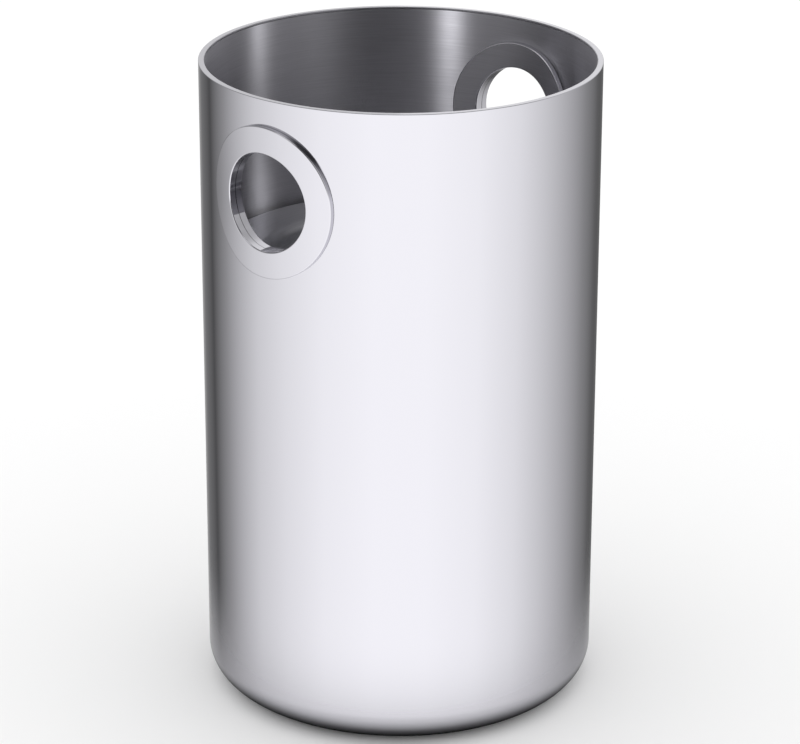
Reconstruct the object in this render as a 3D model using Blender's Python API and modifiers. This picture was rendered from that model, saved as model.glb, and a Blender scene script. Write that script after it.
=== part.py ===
"""Champagne bucket stand: a double-skinned steel drum with two ring handles
and a lift-out tray that carries the bucket.

Metres, +Z up. The origin is the middle of the surface that the stand rests on.
The ring handles face -Y (front) and +Y (back).
"""
from math import cos, pi, radians, sin, sqrt

import bmesh
import bpy
from mathutils import Matrix

# Driving dimensions
TOTAL_HEIGHT = 0.398
OUTER_RADIUS = 0.120
RIM_WIDTH = 0.0036
FOOT_PROJECTION = 0.0015
FOOT_CORNER_RADIUS = 0.021
TRAY_DEPTH = 0.121
HANDLE_DEPTH = 0.0605

# Sheet thicknesses and clearances
OUTER_SHEET = 0.0010
LINER_SHEET = 0.0008
TRAY_SHEET = 0.0015
GAP = 0.0003

# Rim, spacers and feet
RIM_HEIGHT = 0.004
RIM_EDGE_ROUND = 0.0005
SPACER_HEIGHT = 0.008
SPACER_LEVELS = {"skin_spacer_lower": 0.026, "skin_spacer_middle": 0.196}
FOOT_RING_RADII = (0.078, 0.094)
FOOT_EDGE_ROUND = 0.0004

# Ring handles
RING_RADIUS = 0.0452
HOLE_RADIUS = 0.0293
OUTER_RING_PROUD = 0.0028
INNER_RING_PROUD = 0.0035
RING_EDGE_ROUND = 0.0004
LIP_ROUND = 0.0008
COLLAR_WALL = 0.0032
COLLAR_HOLE_CLEARANCE = 0.0010
SPACER_RING_WIDTH = 0.0055

# Bucket tray
TRAY_RADIUS = 0.1115
TRAY_EDGE_ROUND = 0.0012
WELL_RADIUS = 0.0805
WELL_DEPTH = 0.030
SHOULDER_ROUND = 0.0065
WELL_FOOT_ROUND = 0.008

# Tray brackets and their pads
BRACKET_ANGLES = (45, 135, 225, 315)
BRACKET_WIDTH = 0.018
BRACKET_SHEET = 0.002
BRACKET_REACH = 0.018
BRACKET_DROP = 0.024
BRACKET_BEND = 0.0025
PAD_RADIUS = 0.006
PAD_THICKNESS = 0.0015
PAD_STEM_RADIUS = 0.0018
PAD_STEM_LENGTH = 0.0045
PAD_CENTRE_RADIUS = 0.1035

# Weight in the base
PAN_RADIUS = 0.092
PAN_SHEET = 0.0012
PAN_LIP = 0.0065
BALLAST_RADIUS = 0.086
BALLAST_HEIGHT = 0.009
BALLAST_CHAMFER = 0.001

BIG_TURN = 64
RING_TURN = 40
SMALL_TURN = 16

# Levels and radii that follow from the driving dimensions
SHELL_FLOOR = FOOT_PROJECTION
SHELL_TOP = TOTAL_HEIGHT - RIM_HEIGHT - GAP
LINER_INNER = OUTER_RADIUS - RIM_WIDTH
LINER_OUTER = LINER_INNER + LINER_SHEET
LINER_FOOT = SHELL_FLOOR + FOOT_CORNER_RADIUS + 0.0015
TRAY_TOP = TOTAL_HEIGHT - TRAY_DEPTH
HANDLE_LEVEL = TOTAL_HEIGHT - HANDLE_DEPTH
PAD_TOP = TRAY_TOP - TRAY_SHEET - GAP
BRACKET_TOP = PAD_TOP - PAD_THICKNESS - GAP


def clear_scene():
    for old in list(bpy.data.objects):
        bpy.data.objects.remove(old, do_unlink=True)


def collection(name):
    made = bpy.data.collections.new(name)
    bpy.context.scene.collection.children.link(made)
    return made


def material(name, colour, metallic, roughness):
    made = bpy.data.materials.new(name)
    made.use_nodes = True
    shader = made.node_tree.nodes["Principled BSDF"]
    shader.inputs["Base Color"].default_value = (*colour, 1.0)
    shader.inputs["Metallic"].default_value = metallic
    shader.inputs["Roughness"].default_value = roughness
    return made


def arc(centre, radius, start, end, steps):
    """Points on an arc of a profile, angles in degrees from +X."""
    points = []
    for step in range(steps + 1):
        angle = radians(start + (end - start) * step / steps)
        points.append((centre[0] + radius * cos(angle),
                       centre[1] + radius * sin(angle)))
    return points


def smooth(mesh):
    mesh.shade_smooth()
    mesh.set_sharp_from_angle(angle=radians(30))


def add_object(name, mesh, look, home):
    made = bpy.data.objects.new(name, mesh)
    home.objects.link(made)
    if look:
        mesh.materials.append(look)
    return made


def turned(name, profile, look, home, steps=BIG_TURN, closed=True):
    """A profile of (radius, height) points turned about Z."""
    count = len(profile)
    edges = [(i, i + 1) for i in range(count - 1)]
    if closed:
        edges.append((count - 1, 0))
    mesh = bpy.data.meshes.new(name)
    mesh.from_pydata([(r, 0.0, z) for r, z in profile], edges, [])
    made = add_object(name, mesh, look, home)
    screw = made.modifiers.new("Turn", "SCREW")
    screw.steps = steps
    screw.render_steps = steps
    screw.use_merge_vertices = True
    screw.merge_threshold = 0.00001
    screw.use_smooth_shade = True
    return made


def settled(source):
    """Replace a turned object by its evaluated mesh, at the same name."""
    name, home = source.name, source.users_collection[0]
    bpy.context.view_layer.update()
    graph = bpy.context.evaluated_depsgraph_get()
    mesh = bpy.data.meshes.new_from_object(source.evaluated_get(graph))
    bpy.data.objects.remove(source, do_unlink=True)
    mesh.name = name
    made = bpy.data.objects.new(name, mesh)
    home.objects.link(made)
    return made


def cut(target, cutter):
    step = target.modifiers.new("Cut " + cutter.name, "BOOLEAN")
    step.operation = "DIFFERENCE"
    step.solver = "EXACT"
    step.object = cutter


def cross_cutter(name, radius, length, home):
    """A cylinder along Y at handle level, through both walls."""
    mesh = bpy.data.meshes.new(name)
    work = bmesh.new()
    bmesh.ops.create_cone(work, cap_ends=True, segments=RING_TURN,
                          radius1=radius, radius2=radius, depth=length)
    work.to_mesh(mesh)
    work.free()
    made = add_object(name, mesh, None, home)
    made.rotation_euler = (pi / 2, 0.0, 0.0)
    made.location = (0.0, 0.0, HANDLE_LEVEL)
    made.hide_render = True
    made.display_type = "WIRE"
    return made


def outer_shell(looks, parts):
    """Spun drum: straight wall, rounded foot corner and flat floor."""
    floor, corner = SHELL_FLOOR, FOOT_CORNER_RADIUS
    centre = (OUTER_RADIUS - corner, floor + corner)
    inside = arc(centre, corner - OUTER_SHEET, -90, 0, 7)
    outside = arc(centre, corner, 0, -90, 7)
    profile = [(0.0, floor + OUTER_SHEET)] + inside
    profile += [(OUTER_RADIUS - OUTER_SHEET, SHELL_TOP), (OUTER_RADIUS, SHELL_TOP)]
    profile += outside + [(0.0, floor)]
    return turned("outer_shell", profile, looks["polished"], parts, closed=False)


def tube(name, inner, outer, bottom, top, look, parts):
    profile = [(outer, top), (outer, bottom), (inner, bottom), (inner, top)]
    return turned(name, profile, look, parts)


def rim_ring(looks, parts):
    """Flat closing ring that caps both skins, with its top edges eased."""
    inner, outer, top = LINER_INNER, OUTER_RADIUS, TOTAL_HEIGHT
    ease = RIM_EDGE_ROUND
    profile = arc((outer - ease, top - ease), ease, 90, 0, 2)
    profile += [(outer, top - RIM_HEIGHT), (inner, top - RIM_HEIGHT)]
    profile += arc((inner + ease, top - ease), ease, 180, 90, 2)
    return turned("rim_ring", profile, looks["polished"], parts)


def skin_spacer(name, level, looks, parts):
    return tube(name, LINER_OUTER + GAP, OUTER_RADIUS - OUTER_SHEET - GAP,
                level, level + SPACER_HEIGHT, looks["plain"], parts)


def saddle(piece, seat_radius, side):
    """Lay a ring made flat about Z against a drum of the given radius.

    The ring's +Z turns outward, along -Y (side -1) or +Y (side 1), and every
    point then follows the drum's curve.
    """
    mesh = piece.data
    mesh.transform(Matrix.Rotation(pi / 2, 4, "X"))
    if side > 0:
        mesh.transform(Matrix.Rotation(pi, 4, "Z"))
    for point in mesh.vertices:
        bend = point.co.x / seat_radius
        point.co.x = seat_radius * sin(bend)
        point.co.y -= side * seat_radius * (1 - cos(bend))
    smooth(mesh)
    piece.location = (0.0, side * seat_radius, HANDLE_LEVEL)


def ring_profile(proud, collar):
    """Flange with a rounded face and a collar; the seat is at height 0."""
    ease, lip = RING_EDGE_ROUND, LIP_ROUND
    face_edge = arc((RING_RADIUS - ease, proud - ease), ease, 90, 0, 2)
    hole_lip = arc((HOLE_RADIUS + lip, proud - lip), lip, 180, 90, 3)
    profile = face_edge + [(RING_RADIUS, 0.0), (HOLE_RADIUS + COLLAR_WALL, 0.0)]
    profile += [(HOLE_RADIUS + COLLAR_WALL, -collar), (HOLE_RADIUS, -collar)]
    return profile + hole_lip


def handle_ring_outer(name, side, looks, parts):
    """Polished ring on the outside, with a collar halfway through the wall."""
    collar = RIM_WIDTH / 2 + GAP
    profile = ring_profile(OUTER_RING_PROUD, collar)
    piece = settled(turned(name, profile, looks["polished"], parts, RING_TURN))
    saddle(piece, OUTER_RADIUS + GAP, side)


def handle_ring_inner(name, side, looks, parts):
    """Brushed ring on the inside, facing the drum's axis."""
    collar = RIM_WIDTH / 2
    profile = [(r, -z) for r, z in ring_profile(INNER_RING_PROUD, collar)]
    profile.reverse()
    piece = settled(turned(name, profile, looks["brushed"], parts, RING_TURN))
    saddle(piece, LINER_INNER - GAP, side)


def handle_spacer(name, side, looks, parts):
    """Ring between the skins that takes the clamping load of the two rings."""
    inner = HOLE_RADIUS + COLLAR_WALL + GAP
    outer = inner + SPACER_RING_WIDTH
    seat = LINER_OUTER + GAP
    top = OUTER_RADIUS - OUTER_SHEET - GAP - seat
    profile = [(outer, top), (outer, 0.0), (inner, 0.0), (inner, top)]
    piece = settled(turned(name, profile, looks["plain"], parts, RING_TURN))
    saddle(piece, seat, side)


def bucket_tray(looks, parts):
    """Pressed tray: flat ledge, rolled outer edge and a round well."""
    top, sheet, shoulder = TRAY_TOP, TRAY_SHEET, SHOULDER_ROUND
    edge, foot = TRAY_EDGE_ROUND, WELL_FOOT_ROUND
    floor = top - WELL_DEPTH
    ledge_centre = (WELL_RADIUS + shoulder, top - shoulder)
    foot_centre = (WELL_RADIUS - foot, floor + foot)
    upper = [(0.0, floor)] + arc(foot_centre, foot, -90, 0, 3)
    upper += arc(ledge_centre, shoulder, 180, 90, 4)
    upper += arc((TRAY_RADIUS - edge, top - edge), edge, 90, 0, 2)
    lower = [(TRAY_RADIUS, top - sheet)]
    lower += arc(ledge_centre, shoulder - sheet, 90, 180, 4)
    lower += arc(foot_centre, foot + sheet, 0, -90, 3) + [(0.0, floor - sheet)]
    return turned("bucket_tray", upper + lower, looks["tray"], parts, closed=False)


def bracket_mesh(name):
    """Bent strip: arm towards the axis (-X), leg down the wall."""
    leg_face = sqrt((LINER_INNER - GAP) ** 2 - (BRACKET_WIDTH / 2) ** 2)
    bend, sheet = BRACKET_BEND, BRACKET_SHEET
    tip = leg_face - BRACKET_REACH
    heel = (leg_face - bend, BRACKET_TOP - bend)
    outline = [(tip, BRACKET_TOP)] + arc(heel, bend, 90, 0, 4)
    outline += [(leg_face, BRACKET_TOP - BRACKET_DROP),
                (leg_face - sheet, BRACKET_TOP - BRACKET_DROP)]
    outline += arc(heel, bend - sheet, 0, 90, 4) + [(tip, BRACKET_TOP - sheet)]
    curve = bpy.data.curves.new(name, "CURVE")
    curve.dimensions = "2D"
    curve.fill_mode = "BOTH"
    curve.extrude = BRACKET_WIDTH / 2
    strip = curve.splines.new("POLY")
    strip.points.add(len(outline) - 1)
    for point, (x, z) in zip(strip.points, outline):
        point.co = (x, z, 0.0, 1.0)
    strip.use_cyclic_u = True
    return curve


def welded_from_curve(curve_object):
    """The curve's solid as a mesh, its loose caps welded on."""
    bpy.context.view_layer.update()
    graph = bpy.context.evaluated_depsgraph_get()
    mesh = bpy.data.meshes.new_from_object(curve_object.evaluated_get(graph))
    work = bmesh.new()
    work.from_mesh(mesh)
    bmesh.ops.remove_doubles(work, verts=work.verts, dist=0.00001)
    work.to_mesh(mesh)
    work.free()
    return mesh


def stem_cutter(name, home):
    """Cutter for the pad's stem hole in a bracket arm."""
    mesh = bpy.data.meshes.new(name)
    work = bmesh.new()
    radius = PAD_STEM_RADIUS + GAP
    bmesh.ops.create_cone(work, cap_ends=True, segments=SMALL_TURN,
                          radius1=radius, radius2=radius, depth=0.010)
    work.to_mesh(mesh)
    work.free()
    made = add_object(name, mesh, None, home)
    made.hide_render = True
    made.display_type = "WIRE"
    return made


def tray_bracket(number, angle, looks, parts, cutters):
    name = f"tray_bracket_{number}"
    outline = bpy.data.objects.new(name + "_outline", bracket_mesh(name))
    parts.objects.link(outline)
    mesh = welded_from_curve(outline)
    bpy.data.objects.remove(outline, do_unlink=True)
    mesh.transform(Matrix.Rotation(pi / 2, 4, "X"))
    made = add_object(name, mesh, looks["tray"], parts)
    made.rotation_euler = (0.0, 0.0, radians(angle))
    hole = stem_cutter(f"stem_hole_{number}", cutters)
    hole.location = (PAD_CENTRE_RADIUS * cos(radians(angle)),
                     PAD_CENTRE_RADIUS * sin(radians(angle)), BRACKET_TOP)
    cut(made, hole)


def tray_pad(number, angle, looks, parts):
    """Silicone button with a stem through the bracket arm."""
    ease = 0.0004
    top = PAD_THICKNESS
    profile = [(0.0, top)] + arc((PAD_RADIUS - ease, top - ease), ease, 90, 0, 1)
    profile += [(PAD_RADIUS, 0.0), (PAD_STEM_RADIUS, 0.0),
                (PAD_STEM_RADIUS, -PAD_STEM_LENGTH), (0.0, -PAD_STEM_LENGTH)]
    made = turned(f"tray_pad_{number}", profile, looks["silicone"], parts,
                  SMALL_TURN, closed=False)
    made.location = (PAD_CENTRE_RADIUS * cos(radians(angle)),
                     PAD_CENTRE_RADIUS * sin(radians(angle)),
                     PAD_TOP - PAD_THICKNESS)


def ballast_pan(looks, parts):
    """Shallow pan welded to the floor; its lip keeps the weight in place."""
    bottom = SHELL_FLOOR + OUTER_SHEET + GAP
    sheet, lip = PAN_SHEET, bottom + PAN_LIP
    profile = [(0.0, bottom + sheet), (PAN_RADIUS - sheet, bottom + sheet),
               (PAN_RADIUS - sheet, lip), (PAN_RADIUS, lip),
               (PAN_RADIUS, bottom), (0.0, bottom)]
    return turned("ballast_pan", profile, looks["plain"], parts, closed=False)


def ballast_disc(looks, parts):
    bottom = SHELL_FLOOR + OUTER_SHEET + PAN_SHEET + 2 * GAP
    top, cant = bottom + BALLAST_HEIGHT, BALLAST_CHAMFER
    profile = [(0.0, top), (BALLAST_RADIUS - cant, top), (BALLAST_RADIUS, top - cant),
               (BALLAST_RADIUS, bottom), (0.0, bottom)]
    return turned("ballast_disc", profile, looks["ballast"], parts, closed=False)


def foot_ring(looks, parts):
    """Rubber ring bonded under the floor; the stand rests on it."""
    inner, outer = FOOT_RING_RADII
    top, ease = FOOT_PROJECTION - GAP, FOOT_EDGE_ROUND
    profile = [(outer, top)] + arc((outer - ease, ease), ease, 0, -90, 1)
    profile += arc((inner + ease, ease), ease, -90, -180, 1) + [(inner, top)]
    return turned("foot_ring", profile, looks["rubber"], parts)


def make_looks():
    return {
        "polished": material("polished stainless steel", (0.78, 0.78, 0.80), 1.0, 0.08),
        "brushed": material("brushed stainless steel", (0.50, 0.50, 0.52), 1.0, 0.32),
        "tray": material("satin stainless steel", (0.55, 0.55, 0.57), 1.0, 0.28),
        "plain": material("mill finish stainless steel", (0.45, 0.45, 0.46), 1.0, 0.45),
        "ballast": material("zinc plated steel", (0.42, 0.43, 0.44), 1.0, 0.50),
        "silicone": material("translucent silicone", (0.60, 0.61, 0.62), 0.0, 0.55),
        "rubber": material("black rubber", (0.02, 0.02, 0.02), 0.0, 0.80),
    }


def build():
    clear_scene()
    parts = collection("champagne_bucket_stand")
    cutters = collection("cutters")
    looks = make_looks()

    shell = outer_shell(looks, parts)
    liner = tube("inner_liner", LINER_INNER, LINER_OUTER, LINER_FOOT, SHELL_TOP,
                 looks["brushed"], parts)
    hole = cross_cutter("handle_opening", HOLE_RADIUS + COLLAR_WALL
                        + COLLAR_HOLE_CLEARANCE, 2.5 * OUTER_RADIUS, cutters)
    cut(shell, hole)
    cut(liner, hole)
    rim_ring(looks, parts)
    for name, level in SPACER_LEVELS.items():
        skin_spacer(name, level, looks, parts)

    for side, end in ((-1, "front"), (1, "back")):
        handle_ring_outer(f"handle_ring_outer_{end}", side, looks, parts)
        handle_ring_inner(f"handle_ring_inner_{end}", side, looks, parts)
        handle_spacer(f"handle_spacer_{end}", side, looks, parts)

    bucket_tray(looks, parts)
    for number, angle in enumerate(BRACKET_ANGLES, start=1):
        tray_bracket(number, angle, looks, parts, cutters)
        tray_pad(number, angle, looks, parts)

    ballast_pan(looks, parts)
    ballast_disc(looks, parts)
    foot_ring(looks, parts)


build()
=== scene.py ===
# %% [markdown]
# # A champagne bucket stand in polished and brushed steel
#
# The stand is a tall double-walled drum. Its outside is one spun sheet, polished like a mirror.
# A brushed liner stands inside it, and a flat ring closes both walls at the mouth.
# Two round finger holes go right through the wall, each framed by a ring outside and one inside.
# A loose tray rests on four brackets and holds the ice bucket.
# The lesson loads the measured frame first, and then builds each piece that shows around it.

# %% Load the frame and note its size
from math import cos, pi, radians, sin, sqrt

import bmesh
import bpy
from mathutils import Matrix, Vector


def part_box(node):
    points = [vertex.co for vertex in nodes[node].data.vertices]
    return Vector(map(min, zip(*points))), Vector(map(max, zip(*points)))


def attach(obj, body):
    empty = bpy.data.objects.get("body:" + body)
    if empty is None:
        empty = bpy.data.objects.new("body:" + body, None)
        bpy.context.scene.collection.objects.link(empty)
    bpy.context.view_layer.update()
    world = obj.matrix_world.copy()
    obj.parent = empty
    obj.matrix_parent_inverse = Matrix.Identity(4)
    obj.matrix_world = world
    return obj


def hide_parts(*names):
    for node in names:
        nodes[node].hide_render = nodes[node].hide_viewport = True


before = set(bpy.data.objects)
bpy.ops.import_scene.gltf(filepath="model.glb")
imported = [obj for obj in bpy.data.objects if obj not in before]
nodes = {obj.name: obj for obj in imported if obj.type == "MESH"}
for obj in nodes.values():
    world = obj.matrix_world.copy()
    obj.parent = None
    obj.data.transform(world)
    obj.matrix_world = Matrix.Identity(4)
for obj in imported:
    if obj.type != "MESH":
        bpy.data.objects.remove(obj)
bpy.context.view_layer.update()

# %% [markdown]
# ## The driving sizes
#
# Every radius and level is read from the frame's own boxes, so a new piece lands exactly where
# the measured one is. What a box can't tell, such as a sheet's thickness or the small round that
# a maker puts on an edge so that it doesn't cut a finger, is given with the piece that needs it.

# %% Sizes from the frame
MM = 0.001
shell_low, shell_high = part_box("outer_shell")
rim_low, rim_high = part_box("rim_ring")
liner_low, liner_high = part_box("inner_liner")
ring_low, ring_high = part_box("handle_ring_outer_front")
tray_low, tray_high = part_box("bucket_tray")

DRUM_RADIUS = shell_high.x
DRUM_TOP = rim_high.z
DRUM_FLOOR = shell_low.z
LINER_RADIUS = liner_high.x
RING_RADIUS = (ring_high.z - ring_low.z) / 2
HANDLE_LEVEL = (ring_low.z + ring_high.z) / 2
TRAY_RADIUS = tray_high.x
TRAY_TOP = tray_high.z
print("drum radius", round(DRUM_RADIUS, 4), "handle level", round(HANDLE_LEVEL, 4))

# %% [markdown]
# ## Small helpers
#
# An operator acts on whatever is selected, and loading the frame leaves all its nodes selected.
# So each new piece starts with nothing selected, and in edit mode the faces or edges that an
# operator should act on are picked by a test on their place, as a modeller would click on them.

# %% Helpers for selecting and finishing
LEVEL = 0.9            # a face lies level when its normal's upright part is larger than this
LONG_EDGE = 100 * MM   # only the wall's own upright edges are longer


def leave_edit():
    """Go back to object mode, where modifiers and whole pieces are handled."""
    if bpy.context.mode != "OBJECT":
        bpy.ops.object.mode_set(mode="OBJECT")


def start_clean():
    """Leave nothing selected, so that the next operator acts on its own piece only."""
    leave_edit()
    bpy.ops.object.select_all(action="DESELECT")


def begin_edit(name):
    """Name the primitive that was just added and open it in edit mode."""
    piece = bpy.context.object
    piece.name = name
    piece.data.name = name
    bpy.ops.object.mode_set(mode="EDIT")
    return piece


def pick_faces(piece, test):
    """In edit mode, select just the faces whose centre and normal pass a test."""
    bpy.ops.mesh.select_mode(type="FACE")
    bpy.ops.mesh.select_all(action="DESELECT")
    mesh = bmesh.from_edit_mesh(piece.data)
    for face in mesh.faces:
        if test(face.calc_center_median(), face.normal):
            face.select_set(True)
    bmesh.update_edit_mesh(piece.data)


def pick_edges(piece, test):
    """In edit mode, select just the edges whose two ends pass a test."""
    bpy.ops.mesh.select_mode(type="EDGE")
    bpy.ops.mesh.select_all(action="DESELECT")
    mesh = bmesh.from_edit_mesh(piece.data)
    for edge in mesh.edges:
        if all(test(end.co) for end in edge.verts):
            edge.select_set(True)
    bmesh.update_edit_mesh(piece.data)


def split_upright_edges(piece, cuts):
    """In edit mode, cut the long upright edges, so that the wall becomes a stack of bands."""
    bpy.ops.mesh.select_mode(type="EDGE")
    bpy.ops.mesh.select_all(action="DESELECT")
    mesh = bmesh.from_edit_mesh(piece.data)
    for edge in mesh.edges:
        low, high = edge.verts
        if abs(high.co.z - low.co.z) > LONG_EDGE:
            edge.select_set(True)
    bmesh.update_edit_mesh(piece.data)
    bpy.ops.mesh.subdivide(number_cuts=cuts)


def out_from_axis(point):
    """How far a point is from the drum's axis."""
    return sqrt(point.x ** 2 + point.y ** 2)


def near(value, target, within=0.05 * MM):
    """Whether two sizes are the same, for picking by place."""
    return abs(value - target) < within


def extrude_by(offset):
    """Extrude what is selected and move it by an offset."""
    bpy.ops.mesh.extrude_region_move(TRANSFORM_OT_translate={"value": offset})


def apply_modifier(piece, kind, **settings):
    """Add one modifier, set it up and apply it at once."""
    leave_edit()
    bpy.context.view_layer.objects.active = piece
    modifier = piece.modifiers.new(kind.title(), kind)
    for name, value in settings.items():
        setattr(modifier, name, value)
    bpy.ops.object.modifier_apply(modifier=modifier.name)


def smooth_piece(piece, angle=40):
    """Smooth shading that stays crisp at real corners, led by the large faces."""
    start_clean()
    piece.select_set(True)
    bpy.context.view_layer.objects.active = piece
    bpy.ops.object.transform_apply(location=True, rotation=True, scale=True)
    bpy.ops.object.shade_smooth_by_angle(angle=radians(angle))
    apply_modifier(piece, "WEIGHTED_NORMAL", mode="FACE_AREA", weight=100, keep_sharp=True)


def settle(piece, look, body, slot, *stands_for):
    """Give the piece its finish, its body and the nodes that it stands for."""
    if look is not None:
        piece.data.materials.clear()
        piece.data.materials.append(look)
    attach(piece, body)
    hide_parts(*stands_for)
    print(piece.name, "has", len(piece.data.polygons), "faces and stands for", stands_for)


# %% Helpers for materials
def from_hex(code):
    """Turn an sRGB hex colour into the linear colour that the shader works in."""
    parts = [int(code[i:i + 2], 16) / 255 for i in (0, 2, 4)]
    linear = [c / 12.92 if c <= 0.04045 else ((c + 0.055) / 1.055) ** 2.4 for c in parts]
    return (*linear, 1.0)


def add_node(tree, kind, inputs=None, **settings):
    """Add one node: settings are its properties, inputs are values or links for its sockets."""
    made = tree.nodes.new(kind)
    for name, value in settings.items():
        setattr(made, name, value)
    for name, value in (inputs or {}).items():
        if isinstance(value, bpy.types.NodeSocket):
            tree.links.new(value, made.inputs[name])
        else:
            made.inputs[name].default_value = value
    return made


def new_material(name):
    """An empty material with its Principled shader, tree and Object coordinates."""
    look = bpy.data.materials.new(name)
    look.use_nodes = True
    tree = look.node_tree
    shader = tree.nodes["Principled BSDF"]
    place = add_node(tree, "ShaderNodeTexCoord").outputs["Object"]
    return look, tree, shader, place


def follow_pattern(tree, shader, pattern, colours, roughness, relief, span=(0.3, 0.7)):
    """Let one pattern drive colour, gloss and relief, so that all three agree.

    Noise mostly stays inside the span. Relief is the bump's strength and its depth.
    """
    tint = add_node(tree, "ShaderNodeMix",
                    {"Factor": pattern, 6: from_hex(colours[0]), 7: from_hex(colours[1])},
                    data_type="RGBA")
    tree.links.new(tint.outputs[2], shader.inputs["Base Color"])
    grip = add_node(tree, "ShaderNodeMapRange",
                    {"Value": pattern, "From Min": span[0], "From Max": span[1],
                     "To Min": roughness[0], "To Max": roughness[1]})
    tree.links.new(grip.outputs["Result"], shader.inputs["Roughness"])
    bump = add_node(tree, "ShaderNodeBump",
                    {"Height": pattern, "Strength": relief[0], "Distance": relief[1]})
    tree.links.new(bump.outputs["Normal"], shader.inputs["Normal"])


# %% [markdown]
# ## Camera
#
# A long lens from well above the mouth keeps the drum's sides nearly parallel and shows the
# inside of the far wall. The camera stands to the right of the front finger hole, so that hole is
# seen at an angle and the back one shows inside the drum.

# %% Camera
CAMERA_AZIMUTH = radians(39.8)
CAMERA_DISTANCE = 1.856
CAMERA_HEIGHT = 0.913
CAMERA_PITCH = radians(21.07)
CAMERA_ROLL = radians(0.16)
CAMERA_LENS = 145.65

toward_camera = Vector((sin(CAMERA_AZIMUTH), -cos(CAMERA_AZIMUTH), 0.0))
right_of_camera = Vector((cos(CAMERA_AZIMUTH), sin(CAMERA_AZIMUTH), 0.0))
camera = bpy.data.objects.new("camera", bpy.data.cameras.new("camera"))
camera.data.lens = CAMERA_LENS
camera.data.sensor_width = 36.0
camera.location = toward_camera * CAMERA_DISTANCE + Vector((0.0, 0.0, CAMERA_HEIGHT))
turn = Matrix.Rotation(CAMERA_AZIMUTH, 4, "Z") @ Matrix.Rotation(pi / 2 - CAMERA_PITCH, 4, "X")
camera.rotation_euler = (turn @ Matrix.Rotation(CAMERA_ROLL, 4, "Z")).to_euler()
bpy.context.scene.collection.objects.link(camera)
bpy.context.scene.camera = camera
bpy.context.scene.view_settings.view_transform = "Standard"
print("camera at", [round(c, 3) for c in camera.location])

# %% [markdown]
# ## The studio
#
# Polished steel has no look of its own: it shows the room. So the room is planned first.
# The floor and background are plain and pale, and light everything that isn't a reflection.
# Only reflections see the room below: it is bright in front, falls off evenly to both sides, and
# has a dark flag behind each shoulder of the stand with a paler gap between them. Round the drum
# this gives a broad white centre with a soft grey edge on each side. Each pair is a bearing in
# degrees, with 0 towards the camera, and the room's brightness there.

# %% The soft room
ROOM_STOPS = (
    (-180, 0.42), (-166, 0.36), (-158, 0.21), (-145, 0.15), (-139, 0.10), (-134, 0.18),
    (-120, 0.39), (-105, 0.68), (-90, 0.95), (-70, 1.16), (-45, 1.35), (-15, 1.45),
    (15, 1.45), (45, 1.36), (70, 1.16), (90, 0.90), (110, 0.62), (130, 0.34),
    (150, 0.145), (158, 0.12), (172, 0.17), (180, 0.42),
)
FLOOR_WHITE = 1.22

world = bpy.data.worlds.new("studio")
bpy.context.scene.world = world
world.use_nodes = True
world.cycles.sampling_method = "NONE"
tree = world.node_tree
tree.nodes.clear()
direction = add_node(tree, "ShaderNodeTexCoord").outputs["Generated"]
front = add_node(tree, "ShaderNodeVectorMath", {0: direction, 1: toward_camera},
                 operation="DOT_PRODUCT").outputs["Value"]
right = add_node(tree, "ShaderNodeVectorMath", {0: direction, 1: right_of_camera},
                 operation="DOT_PRODUCT").outputs["Value"]
height = add_node(tree, "ShaderNodeSeparateXYZ", {"Vector": direction}).outputs["Z"]
bearing = add_node(tree, "ShaderNodeMath", {0: right, 1: front}, operation="ARCTAN2")
share = add_node(tree, "ShaderNodeMapRange",
                 {"Value": bearing.outputs[0], "From Min": -pi, "From Max": pi})
print("the room has", len(ROOM_STOPS), "stops of brightness")

# %% [markdown]
# ### The upper room
#
# Above the horizon the lit walls give way to a dim studio: nearly black over the camera, where
# the brushed inside looks, and pale behind the stand, where the flat rim looks. It darkens
# towards the top, except for one bright panel straight overhead. Heights are the sine of the
# angle above the horizon: 0 is level and 1 is straight up.

# %% The upper room
HORIZON_BLUR = 0.12
DIM_FROM, DIM_UNTIL, DIM_LEVEL = 0.64, 0.82, 0.40
PANEL_FROM, PANEL_UNTIL, PANEL_LEVEL = 0.91, 0.98, 1.3
UPPER_STOPS = (
    (-180, 0.78), (-142, 0.80), (-124, 0.40), (-106, 0.20), (-84, 0.58), (-72, 0.72),
    (-60, 0.75), (-46, 0.62), (-24, 0.14), (12, 0.06), (22, 0.09), (31, 0.26),
    (40, 0.55), (50, 0.94), (60, 0.90), (72, 0.60), (97, 0.58), (108, 0.55),
    (122, 0.62), (142, 0.82), (180, 0.78),
)


def room_ramp(stops_wanted):
    """Brightness by bearing: a colour ramp over the full turn, with -180 at its left end."""
    ramp = add_node(tree, "ShaderNodeValToRGB", {"Fac": share.outputs["Result"]})
    stops = ramp.color_ramp.elements
    for number, (angle, level) in enumerate(stops_wanted):
        place = (angle + 180) / 360
        stop = stops[number] if number < 1 else stops.new(place)
        stop.position = place
        stop.color = (level, level, level, 1.0)
    stops.remove(stops[len(stops) - 1])
    return ramp.outputs["Color"]


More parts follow.
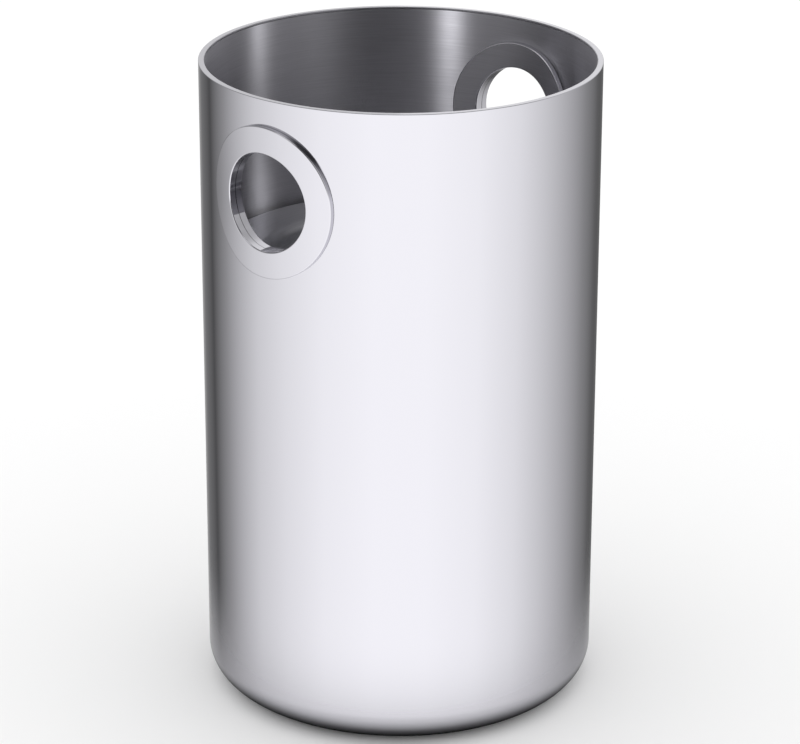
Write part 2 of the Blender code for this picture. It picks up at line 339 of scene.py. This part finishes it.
lower = room_ramp(ROOM_STOPS)
upper = room_ramp(UPPER_STOPS)
dimming = add_node(tree, "ShaderNodeMapRange",
                   {"Value": height, "From Min": DIM_FROM, "From Max": DIM_UNTIL,
                    "To Min": 1.0, "To Max": DIM_LEVEL}, interpolation_type="SMOOTHSTEP")
dimmed = add_node(tree, "ShaderNodeVectorMath",
                  {0: upper, "Scale": dimming.outputs["Result"]}, operation="SCALE")
panel = add_node(tree, "ShaderNodeMapRange",
                 {"Value": height, "From Min": PANEL_FROM, "From Max": PANEL_UNTIL,
                  "To Max": PANEL_LEVEL}, interpolation_type="SMOOTHSTEP")
ceiling = add_node(tree, "ShaderNodeVectorMath",
                   {0: dimmed.outputs["Vector"], 1: panel.outputs["Result"]})
above = add_node(tree, "ShaderNodeMapRange",
                 {"Value": height, "From Min": -HORIZON_BLUR, "From Max": HORIZON_BLUR},
                 interpolation_type="SMOOTHSTEP")
seen = add_node(tree, "ShaderNodeMix",
                {"Factor": above.outputs["Result"], 6: lower,
                 7: ceiling.outputs["Vector"]}, data_type="RGBA")
ray = add_node(tree, "ShaderNodeLightPath")
light = add_node(tree, "ShaderNodeMix",
                 {"Factor": ray.outputs["Is Glossy Ray"], 6: (FLOOR_WHITE,) * 3 + (1.0,),
                  7: seen.outputs[2]}, data_type="RGBA")
sky = add_node(tree, "ShaderNodeBackground", {"Color": light.outputs[2], "Strength": 1.0})
add_node(tree, "ShaderNodeOutputWorld", {"Surface": sky.outputs["Background"]})
print("the upper room has", len(UPPER_STOPS), "stops of brightness")

# %% [markdown]
# ### Strip lights
#
# Two strip lights stand to the left and to the right, a little above the mouth. They are there
# for the brushed inside: its level scratches smear each strip into a soft upright streak down
# the liner. A later step keeps them off the polished pieces.

# %% Strip lights
STRIP_DISTANCE = 1.8


def strip_light(name, bearing, low, high, width, power):
    """A tall soft light turned to the mouth: it spans two heights, given as angles above it."""
    data = bpy.data.lights.new(name, "AREA")
    data.shape = "RECTANGLE"
    data.size = width
    level = (low + high) / 2
    data.size_y = STRIP_DISTANCE * (sin(high) - sin(low)) / cos(level)
    data.energy = power
    lamp = bpy.data.objects.new(name, data)
    side = toward_camera * cos(bearing) + right_of_camera * sin(bearing)
    aim = side * cos(level) + Vector((0.0, 0.0, sin(level)))
    lamp.location = aim * STRIP_DISTANCE + Vector((0.0, 0.0, DRUM_TOP))
    lamp.rotation_euler = aim.to_track_quat("Z", "Y").to_euler()
    lamp.visible_camera = False
    bpy.context.scene.collection.objects.link(lamp)
    return lamp


strips = [
    strip_light("left_strip", bearing=radians(-31), low=radians(2), high=radians(27),
                width=0.34, power=8.0),
    strip_light("right_strip", bearing=radians(97), low=radians(2), high=radians(25),
                width=0.16, power=3.2),
]
print("strip lights:", [strip.name for strip in strips])

# %% [markdown]
# ## Floor
#
# The floor is one large pale sheet that no reflection sees. A small second sheet lies just on top
# of it, under the stand, and only reflections see that one: it carries a painted shadow, near
# black under the drum, then turns pale past its wall and fades out. So the drum's foot shows this
# painted soft shadow in its reflection, while the rest of the wall shows the even room.

# %% Floor
FLOOR_RADIUS = 6.0
NEAR_FLOOR_RADIUS = 0.32
NEAR_FLOOR_LIFT = 0.05 * MM
SHADOW_FROM, SHADOW_UNTIL = 0.103, 0.138
FADE_FROM, FADE_UNTIL, FADE_POWER = 0.116, 0.30, 3.0


def floor_sheet(name, radius, level):
    """A round sheet that belongs to the studio and not to the stand."""
    start_clean()
    bpy.ops.mesh.primitive_circle_add(vertices=96, radius=radius, fill_type="NGON",
                                      location=(0.0, 0.0, level))
    sheet = bpy.context.object
    sheet.name = name
    return sheet


wide_floor = floor_sheet("floor", FLOOR_RADIUS, 0.0)
wide_floor.visible_glossy = False
near_floor = floor_sheet("floor_under_stand", NEAR_FLOOR_RADIUS, NEAR_FLOOR_LIFT)
near_floor.visible_camera = False
near_floor.visible_diffuse = False
near_floor.visible_shadow = False

white_card, tree, shader, place = new_material("matt_white_card")
shader.inputs["Base Color"].default_value = from_hex("EDEDED")
shader.inputs["Roughness"].default_value = 1.0
shader.inputs["Specular IOR Level"].default_value = 0.0
wide_floor.data.materials.append(white_card)

painted_shadow_card, tree, shader, place = new_material("painted_shadow_card_fading_out")
shader.inputs["Roughness"].default_value = 1.0
shader.inputs["Specular IOR Level"].default_value = 0.0
reach = add_node(tree, "ShaderNodeVectorMath", {0: place}, operation="LENGTH")
edge = add_node(tree, "ShaderNodeMapRange",
                {"Value": reach.outputs["Value"], "From Min": SHADOW_FROM,
                 "From Max": SHADOW_UNTIL}, interpolation_type="SMOOTHSTEP")
# Painted shadow: the card's colour is near black under the drum and pale past its wall, so the
# foot's reflection shows a shadow.
painted_shadow_colour = add_node(tree, "ShaderNodeMix",
                 {"Factor": edge.outputs["Result"], 6: from_hex("1C1C1D"),
                  7: from_hex("C8C8C8")}, data_type="RGBA")
tree.links.new(painted_shadow_colour.outputs[2], shader.inputs["Base Color"])
fade = add_node(tree, "ShaderNodeMapRange",
                {"Value": reach.outputs["Value"], "From Min": FADE_FROM,
                 "From Max": FADE_UNTIL, "To Min": 1.0, "To Max": 0.0})
soft_fade = add_node(tree, "ShaderNodeMath", {0: fade.outputs["Result"], 1: FADE_POWER},
                     operation="POWER")
tree.links.new(soft_fade.outputs[0], shader.inputs["Alpha"])
near_floor.data.materials.append(painted_shadow_card)
print("floor laid:", wide_floor.name, "and", near_floor.name)

# %% [markdown]
# ## Mirror-polished stainless steel
#
# The outside is 18/10 stainless steel, ground with ever finer belts and then buffed on a cloth
# wheel until it mirrors the room. What gives it away as metal and not glass is its slightly cool
# tint, and what gives it away as real is that the buffing is never quite even: the gloss varies
# a little in soft clouds, and the sheet still carries a trace of the spinning lathe.

# %% Mirror-polished stainless steel
CLOUD_SIZE = 38 * MM
CLOUD_ROUGHNESS = (0.045, 0.085)
LATHE_PITCH = 9 * MM
LATHE_STRETCH = 0.12   # the marks come out about eight times as wide as they are high
LATHE_DEPTH = 0.02 * MM

polished_steel, tree, shader, place = new_material("mirror_polished_stainless_steel")
shader.inputs["Base Color"].default_value = from_hex("CDCCD2")
shader.inputs["Metallic"].default_value = 1.0
clouds = add_node(tree, "ShaderNodeTexNoise",
                  {"Vector": place, "Scale": 1 / CLOUD_SIZE, "Detail": 4.0, "Roughness": 0.55})
gloss = add_node(tree, "ShaderNodeMapRange",
                 {"Value": clouds.outputs["Fac"], "From Min": 0.3, "From Max": 0.7,
                  "To Min": CLOUD_ROUGHNESS[0], "To Max": CLOUD_ROUGHNESS[1]})
tree.links.new(gloss.outputs["Result"], shader.inputs["Roughness"])
along = add_node(tree, "ShaderNodeMapping",
                 {"Vector": place, "Scale": (LATHE_STRETCH, LATHE_STRETCH, 1.0)})
lathe = add_node(tree, "ShaderNodeTexNoise",
                 {"Vector": along.outputs["Vector"], "Scale": 1 / LATHE_PITCH, "Detail": 1.0})
ripple = add_node(tree, "ShaderNodeBump",
                  {"Height": lathe.outputs["Fac"], "Strength": 0.04, "Distance": LATHE_DEPTH})
tree.links.new(ripple.outputs["Normal"], shader.inputs["Normal"])
print("made", polished_steel.name)

# %% [markdown]
# ## Brushed stainless steel
#
# The liner and the inner rings are drawn past an abrasive belt, which leaves fine scratches that
# all run level. Each scratch throws light up and down but hardly sideways, so a lamp becomes a
# tall soft streak. The shader's anisotropy does that, with its tangent set upright, across
# the scratches. Real scratches are a few hundredths of a millimetre wide; they are drawn about
# ten times coarser here, so that a few of them show.

# %% Brushed stainless steel
SCRATCH_WIDTH = 0.35 * MM
SCRATCH_LENGTH = 30 * MM
SCRATCH_DEPTH = 0.02 * MM


def scratch_lines(tree, place, width, length):
    """Noise drawn out level: narrow up and down, long round the drum."""
    stretched = add_node(tree, "ShaderNodeMapping",
                         {"Vector": place, "Scale": (width / length, width / length, 1.0)})
    return add_node(tree, "ShaderNodeTexNoise",
                    {"Vector": stretched.outputs["Vector"], "Scale": 1 / width,
                     "Detail": 3.0, "Roughness": 0.6}).outputs["Fac"]


brushed_steel, tree, shader, place = new_material("level_brushed_stainless_steel")
shader.inputs["Metallic"].default_value = 1.0
shader.inputs["Anisotropic"].default_value = 0.95
lines = scratch_lines(tree, place, SCRATCH_WIDTH, SCRATCH_LENGTH)
follow_pattern(tree, shader, lines, colours=("A9A8AE", "C6C5CB"), roughness=(0.46, 0.38),
               relief=(0.15, SCRATCH_DEPTH))
upright = add_node(tree, "ShaderNodeCombineXYZ", {"Z": 1.0})
tree.links.new(upright.outputs["Vector"], shader.inputs["Tangent"])
print("made", brushed_steel.name)

# %% [markdown]
# ## Lathe-turned satin steel
#
# The tray is pressed, then held against an abrasive pad while it turns, so its scratches are
# circles about its middle. The tangent points straight out from the axis, across them, which
# draws the highlights out into the two soft fans that any turned pan lid shows. The circles
# wander a little, because no hand holds a pad still.

# %% Lathe-turned satin steel
TURNED_WIDTH = 0.4 * MM
TURNED_DRIFT = 0.6 * MM
satin_steel, tree, shader, place = new_material("lathe_turned_satin_steel")
shader.inputs["Metallic"].default_value = 1.0
shader.inputs["Anisotropic"].default_value = 0.7
flat_place = add_node(tree, "ShaderNodeVectorMath",
                      {0: place, 1: (1.0, 1.0, 0.0)}, operation="MULTIPLY").outputs["Vector"]
outward = add_node(tree, "ShaderNodeVectorMath", {0: flat_place}, operation="NORMALIZE")
tree.links.new(outward.outputs["Vector"], shader.inputs["Tangent"])
radius = add_node(tree, "ShaderNodeVectorMath", {0: flat_place}, operation="LENGTH")
parts = add_node(tree, "ShaderNodeSeparateXYZ", {"Vector": place})
circles = add_node(tree, "ShaderNodeCombineXYZ",
                   {"X": radius.outputs["Value"], "Y": parts.outputs["Z"]})
drift = add_node(tree, "ShaderNodeVectorMath",
                 {0: outward.outputs["Vector"], "Scale": TURNED_DRIFT}, operation="SCALE")
turned_place = add_node(tree, "ShaderNodeVectorMath",
                        {0: circles.outputs["Vector"], 1: drift.outputs["Vector"]})
turned = add_node(tree, "ShaderNodeTexNoise",
                  {"Vector": turned_place.outputs["Vector"], "Scale": 1 / TURNED_WIDTH,
                   "Detail": 3.0}).outputs["Fac"]
follow_pattern(tree, shader, turned, colours=("C2C2C6", "DCDCE0"), roughness=(0.48, 0.38),
               relief=(0.15, SCRATCH_DEPTH))
print("made", satin_steel.name)

# %% [markdown]
# ## The hidden metals, silicone and rubber
#
# Inside the wall and under the tray nobody polishes anything. The brackets, the spacers and the
# pan keep the dull, slightly mottled skin that the rolling mill left on the sheet. The ballast
# disc is zinc plated and shows faint crystals. The tray rests on pale silicone pads, which are
# soft and a little glossy, and the stand on a black rubber ring with a fine dusty grain.

# %% Mill-finish and zinc-plated steel
PIT_DEPTH = 0.05 * MM


def plain_metal(name, colours, roughness, grain):
    """Unpolished sheet: mottled in colour and gloss at the size of its grain."""
    look, tree, shader, place = new_material(name)
    shader.inputs["Metallic"].default_value = 1.0
    mottle = add_node(tree, "ShaderNodeTexNoise",
                      {"Vector": place, "Scale": 1 / grain, "Detail": 5.0, "Roughness": 0.6})
    follow_pattern(tree, shader, mottle.outputs["Fac"], colours, roughness,
                   relief=(0.3, PIT_DEPTH))
    print("made", name)
    return look


mill_steel = plain_metal("mill_finish_steel", colours=("8D8C90", "B2B1B5"),
                         roughness=(0.37, 0.53), grain=2.5 * MM)
zinc_steel = plain_metal("zinc_plated_steel", colours=("8F959B", "B9BEC3"),
                         roughness=(0.30, 0.46), grain=6.0 * MM)


# %% Silicone and rubber
def soft_material(name, colours, roughness, grain, depth, coat=0.0):
    """Moulded rubber-like material with a fine grain in colour, gloss and relief."""
    look, tree, shader, place = new_material(name)
    shader.inputs["IOR"].default_value = 1.45
    shader.inputs["Coat Weight"].default_value = coat
    specks = add_node(tree, "ShaderNodeTexNoise",
                      {"Vector": place, "Scale": 1 / grain, "Detail": 4.0})
    follow_pattern(tree, shader, specks.outputs["Fac"], colours, roughness,
                   relief=(0.4, depth), span=(0.0, 1.0))
    print("made", name)
    return look


silicone = soft_material("moulded_silicone", colours=("BFC0BE", "D2D3D0"),
                         roughness=(0.32, 0.52), grain=1.2 * MM, depth=0.02 * MM, coat=0.1)
rubber = soft_material("black_rubber", colours=("0E0E0F", "1C1C1D"),
                       roughness=(0.6, 0.8), grain=0.6 * MM, depth=0.05 * MM)

# %% [markdown]
# ## The polished skin
#
# The whole outside is one seamless mirror: floor, rounded foot, straight wall and the flat ring
# round the mouth, whose weld is ground away. A mirror shows every flat of a coarse mesh, so the
# drum gets 256 sides. It starts as a cylinder. Its foot edge is bevelled to the big round, then
# the mouth is inset to the rim's width and extruded down in three steps: the rim's inner face,
# the undercut out to the thin sheet, and the long inside of the wall. The wall is then cut into
# bands 8 mm high: the finger holes only disturb the faces next to them, and those bands keep
# every disturbed face under the rings.

# %% Polished skin: the drum without its holes
OUTER_SHEET = 1.0 * MM
RIM_WIDTH = 3.6 * MM
RIM_DEPTH = 1.0 * MM
RIM_EASE = 0.45 * MM
FOOT_ROUND = 21.0 * MM
DRUM_SIDES = 256
FOOT_STEPS = 18
WALL_CUTS = 46

start_clean()
bpy.ops.mesh.primitive_cylinder_add(
    vertices=DRUM_SIDES, radius=DRUM_RADIUS, depth=DRUM_TOP - DRUM_FLOOR,
    location=(0.0, 0.0, (DRUM_TOP + DRUM_FLOOR) / 2))
skin = bpy.context.object
bpy.ops.object.transform_apply(location=True, rotation=True, scale=True)
begin_edit("polished_skin")
pick_edges(skin, lambda end: near(end.z, DRUM_FLOOR))
bpy.ops.mesh.bevel(offset=FOOT_ROUND, segments=FOOT_STEPS, profile=0.5, affect="EDGES")
pick_faces(skin, lambda centre, normal: normal.z > LEVEL and near(centre.z, DRUM_TOP))
bpy.ops.mesh.inset(thickness=RIM_WIDTH)
extrude_by((0.0, 0.0, -RIM_DEPTH))
extrude_by((0.0, 0.0, 0.0))
undercut = (DRUM_RADIUS - OUTER_SHEET) / (DRUM_RADIUS - RIM_WIDTH)
bpy.ops.transform.resize(value=(undercut, undercut, 1.0), center_override=(0.0, 0.0, 0.0))
inside_floor = DRUM_FLOOR + OUTER_SHEET
extrude_by((0.0, 0.0, inside_floor - (DRUM_TOP - RIM_DEPTH)))
pick_edges(skin, lambda end: near(end.z, inside_floor) and out_from_axis(end) > LINER_RADIUS / 2)
bpy.ops.mesh.bevel(offset=FOOT_ROUND - OUTER_SHEET, segments=FOOT_STEPS, affect="EDGES")
pick_edges(skin, lambda end: near(end.z, DRUM_TOP))
bpy.ops.mesh.bevel(offset=RIM_EASE, segments=4, affect="EDGES")
split_upright_edges(skin, WALL_CUTS)
smooth_piece(skin)
print("skin before the holes:", len(skin.data.polygons), "faces")

# %% [markdown]
# ### Cutting the finger holes
#
# A Boolean cuts the two holes with one long cylinder through both walls. Cutting a curved sheet
# upsets its shading, because the new corners sit between the old ones, and on a mirror that
# shows as creases. So a copy of the uncut drum lends its clean normals back to the cut one.

# %% Helper: cut both finger holes and restore the shading
WALL_HOLE_RADIUS = 33.5 * MM
CUTTER_SIDES = 128


def cut_finger_holes(piece):
    """Bore both holes with one long cylinder, then lend the uncut piece's normals back."""
    start_clean()
    clean = piece.copy()
    clean.data = piece.data.copy()
    bpy.context.scene.collection.objects.link(clean)
    bpy.ops.mesh.primitive_cylinder_add(
        vertices=CUTTER_SIDES, radius=WALL_HOLE_RADIUS, depth=4 * DRUM_RADIUS,
        location=(0.0, 0.0, HANDLE_LEVEL), rotation=(pi / 2, 0.0, 0.0))
    cutter = bpy.context.object
    apply_modifier(piece, "BOOLEAN", operation="DIFFERENCE", solver="EXACT", object=cutter)
    apply_modifier(piece, "DATA_TRANSFER", object=clean, use_loop_data=True,
                   data_types_loops={"CUSTOM_NORMAL"}, loop_mapping="NEAREST_POLYNOR")
    bpy.data.objects.remove(cutter)
    bpy.data.objects.remove(clean)


# %% Polished skin: finger holes
cut_finger_holes(skin)
settle(skin, polished_steel, "stand", "polished_steel", "outer_shell", "rim_ring")

# %% Polished skin: the brushed face inside the mouth
# The brushing belt runs right up to the mouth, so the rim's narrow inner face is brushed too,
# and most of its eased edge with it.
skin.data.materials.append(brushed_steel)
undercut_level = DRUM_TOP - RIM_DEPTH + 0.02 * MM
brushed_reach = DRUM_RADIUS - RIM_WIDTH + 0.8 * RIM_EASE
for face in skin.data.polygons:
    if face.center.z > undercut_level and out_from_axis(face.center) < brushed_reach:
        face.material_index = 1
print("brushed faces in the mouth:", sum(face.material_index for face in skin.data.polygons))

# %% [markdown]
# ## The brushed liner
#
# The liner is a plain tube of thinner sheet just inside the skin, and runs up to the underside of
# the rim, so that its brushing fills the whole mouth. It is a cylinder without ends, given its
# thickness by Solidify, and cut with the same two holes.

# %% Brushed liner
LINER_SHEET = 0.8 * MM
SKIN_GAP = 0.3 * MM    # what is left between two pieces that touch on the real stand

start_clean()
liner_top = DRUM_TOP - RIM_DEPTH - SKIN_GAP
bpy.ops.mesh.primitive_cylinder_add(
    vertices=DRUM_SIDES, radius=LINER_RADIUS, depth=liner_top - liner_low.z,
    location=(0.0, 0.0, (liner_top + liner_low.z) / 2), end_fill_type="NOTHING")
liner = begin_edit("brushed_liner")
split_upright_edges(liner, WALL_CUTS)
apply_modifier(liner, "SOLIDIFY", thickness=LINER_SHEET, offset=-1.0)
smooth_piece(liner)
cut_finger_holes(liner)
settle(liner, brushed_steel, "stand", "brushed_steel", "inner_liner")

# %% [markdown]
# ## The rings of the finger holes
#
# Each hole is framed by a ring outside and another inside. Their short collars meet within the
# wall, so a finger touches only smooth metal. A ring is turned flat on a lathe first, with a soft
# outer edge and a rounder lip, and is then pressed to the drum's curve. It is made the same way
# here: a disc, inset into concentric bands so that it can bend, bored through by bridging its
# two faces, bevelled, and at last laid against the drum.

# %% Helper: a flat ring with a collar
HOLE_RADIUS = 29.3 * MM
COLLAR_WALL = 3.2 * MM
RING_SIDES = 160
FACE_BANDS = 5
EDGE_EASE = 0.6 * MM
LIP_EASE = 0.8 * MM


def flat_ring(name, proud, collar):
    """A ring about Z: its seat is at height 0, its face at proud, its collar hangs below."""
    start_clean()
    bpy.ops.mesh.primitive_cylinder_add(vertices=RING_SIDES, radius=RING_RADIUS, depth=proud,
                                        location=(0.0, 0.0, proud / 2))
    bpy.ops.object.transform_apply(location=True, rotation=True, scale=True)
    ring = begin_edit(name)
    band = (RING_RADIUS - HOLE_RADIUS - COLLAR_WALL) / FACE_BANDS
    pick_faces(ring, lambda centre, normal: normal.z < -LEVEL)
    for _ in range(FACE_BANDS):
        bpy.ops.mesh.inset(thickness=band)
    extrude_by((0.0, 0.0, -collar))
    bpy.ops.mesh.inset(thickness=COLLAR_WALL)
    band = (RING_RADIUS - HOLE_RADIUS) / FACE_BANDS
    pick_faces(ring, lambda centre, normal: normal.z > LEVEL)
    for _ in range(FACE_BANDS):
        bpy.ops.mesh.inset(thickness=band)
    pick_faces(ring, lambda centre, normal: abs(normal.z) > LEVEL and out_from_axis(centre) < MM)
    bpy.ops.mesh.bridge_edge_loops()
    pick_edges(ring, lambda end: near(end.z, proud) and near(out_from_axis(end), RING_RADIUS))
    bpy.ops.mesh.bevel(offset=EDGE_EASE, segments=5, affect="EDGES")
    pick_edges(ring, lambda end: near(end.z, proud) and near(out_from_axis(end), HOLE_RADIUS))
    bpy.ops.mesh.bevel(offset=LIP_EASE, segments=6, affect="EDGES")
    leave_edit()
    return ring


def press_to_drum(ring, seat_radius, side):
    """Turn the ring to face out along Y and bend it over a drum of the given radius.

    The flange keeps its length as it bends, so seen from the front it ends up a little narrower
    than it is high. Each point is moved here by that rule.
    """
    turn = Matrix.Rotation(pi / 2, 4, "X")
    if side > 0:
        turn = Matrix.Rotation(pi, 4, "Z") @ turn
    ring.data.transform(turn)
    for point in ring.data.vertices:
        bend = point.co.x / seat_radius
        point.co.x = seat_radius * sin(bend)
        point.co.y += side * seat_radius * cos(bend)
        point.co.z += HANDLE_LEVEL
    smooth_piece(ring)


# %% Outer rings
OUTER_RING_PROUD = 2.8 * MM
SIDES = {"front": -1, "back": 1}

for end, side in SIDES.items():
    ring = flat_ring("polished_ring_" + end, OUTER_RING_PROUD, RIM_WIDTH / 2 + SKIN_GAP)
    press_to_drum(ring, DRUM_RADIUS + SKIN_GAP, side)
    settle(ring, polished_steel, "stand", "polished_steel", "handle_ring_outer_" + end)

# %% [markdown]
# The inner ring is the same turned part with a slightly prouder flange. It faces the axis, so
# it is turned over before it is pressed to the curve. Its face is brushed like the liner round
# it, while its edge, lip and collar, where fingers go, are polished.

# %% Inner rings
INNER_RING_PROUD = 3.5 * MM
FLAT_FACE = 0.99       # leaves out the eased edges, whose normals tilt away

for end, side in SIDES.items():
    ring = flat_ring("brushed_ring_" + end, INNER_RING_PROUD, RIM_WIDTH / 2)
    ring.data.materials.append(brushed_steel)
    ring.data.materials.append(polished_steel)
    for face in ring.data.polygons:
        on_face = face.normal.z > FLAT_FACE and near(face.center.z, INNER_RING_PROUD)
        face.material_index = 0 if on_face else 1
    ring.data.transform(Matrix.Rotation(pi, 4, "X"))
    press_to_drum(ring, DRUM_RADIUS - RIM_WIDTH - SKIN_GAP, side)
    settle(ring, None, "stand", "brushed_steel", "handle_ring_inner_" + end)

# %% [markdown]
# ## The loose tray
#
# The tray is one pressing: a flat ledge that carries the bucket's foot, and a round well that
# catches melt water. A filled circle is inset to the well and extruded down. One bevel gives the
# soft shoulder and another the well's foot, Solidify gives the sheet its thickness, and a last
# small bevel takes the sharpness off its outer edge.

# %% Tray
TRAY_SHEET = 1.5 * MM
TRAY_SIDES = 192
WELL_RADIUS = 80.5 * MM
WELL_DEPTH = 30.0 * MM
SHOULDER_ROUND = 6.5 * MM
WELL_FOOT_ROUND = 8.0 * MM
TRAY_EDGE_EASE = 0.6 * MM

start_clean()
bpy.ops.mesh.primitive_circle_add(vertices=TRAY_SIDES, radius=TRAY_RADIUS, fill_type="NGON",
                                  location=(0.0, 0.0, TRAY_TOP))
bpy.ops.object.transform_apply(location=True, rotation=True, scale=True)
tray = begin_edit("satin_tray")
pick_faces(tray, lambda centre, normal: True)
bpy.ops.mesh.inset(thickness=TRAY_RADIUS - WELL_RADIUS)
extrude_by((0.0, 0.0, -WELL_DEPTH))
pick_edges(tray, lambda end: near(end.z, TRAY_TOP) and near(out_from_axis(end), WELL_RADIUS))
bpy.ops.mesh.bevel(offset=SHOULDER_ROUND, segments=12, affect="EDGES")
pick_edges(tray, lambda end: near(end.z, TRAY_TOP - WELL_DEPTH))
bpy.ops.mesh.bevel(offset=WELL_FOOT_ROUND, segments=10, affect="EDGES")
apply_modifier(tray, "SOLIDIFY", thickness=TRAY_SHEET, offset=-1.0, use_even_offset=True)
bpy.context.view_layer.objects.active = tray
bpy.ops.object.mode_set(mode="EDIT")
pick_edges(tray, lambda end: near(out_from_axis(end), TRAY_RADIUS))
bpy.ops.mesh.bevel(offset=TRAY_EDGE_EASE, segments=3, affect="EDGES")
smooth_piece(tray)
settle(tray, satin_steel, "tray", "satin_steel", "bucket_tray")

# %% [markdown]
# ## Flagging the strips
#
# In a studio, black flags are hung so that a strip falls only where it is wanted. Light linking
# does the same: both strips reach the liner and the tray. The polished skin, the rings and the
# floor are left alone, because a bare strip mirrored in a polished edge is only a white speck.

# %% Flag the strips
brushed_group = bpy.data.collections.new("lit_by_strips")
for name in ("brushed_liner", "satin_tray"):
    brushed_group.objects.link(bpy.data.objects[name])
for strip in strips:
    strip.light_linking.receiver_collection = brushed_group

# %% [markdown]
# ## Finishes of the frame's own pieces
#
# The brackets, spacers, pan, ballast, pads and foot already have their true shapes, so they stay
# as they are and only get their finishes.

# %% Finishes of the frame's own pieces
FINISHES = {"tray_bracket": mill_steel, "skin_spacer": mill_steel, "handle_spacer": mill_steel,
            "ballast_pan": mill_steel, "ballast_disc": zinc_steel, "tray_pad": silicone,
            "foot_ring": rubber}
for name, node in nodes.items():
    for start, look in FINISHES.items():
        if name.startswith(start):
            for held in node.material_slots:
                held.material = look
            print(name, "is finished in", look.name)
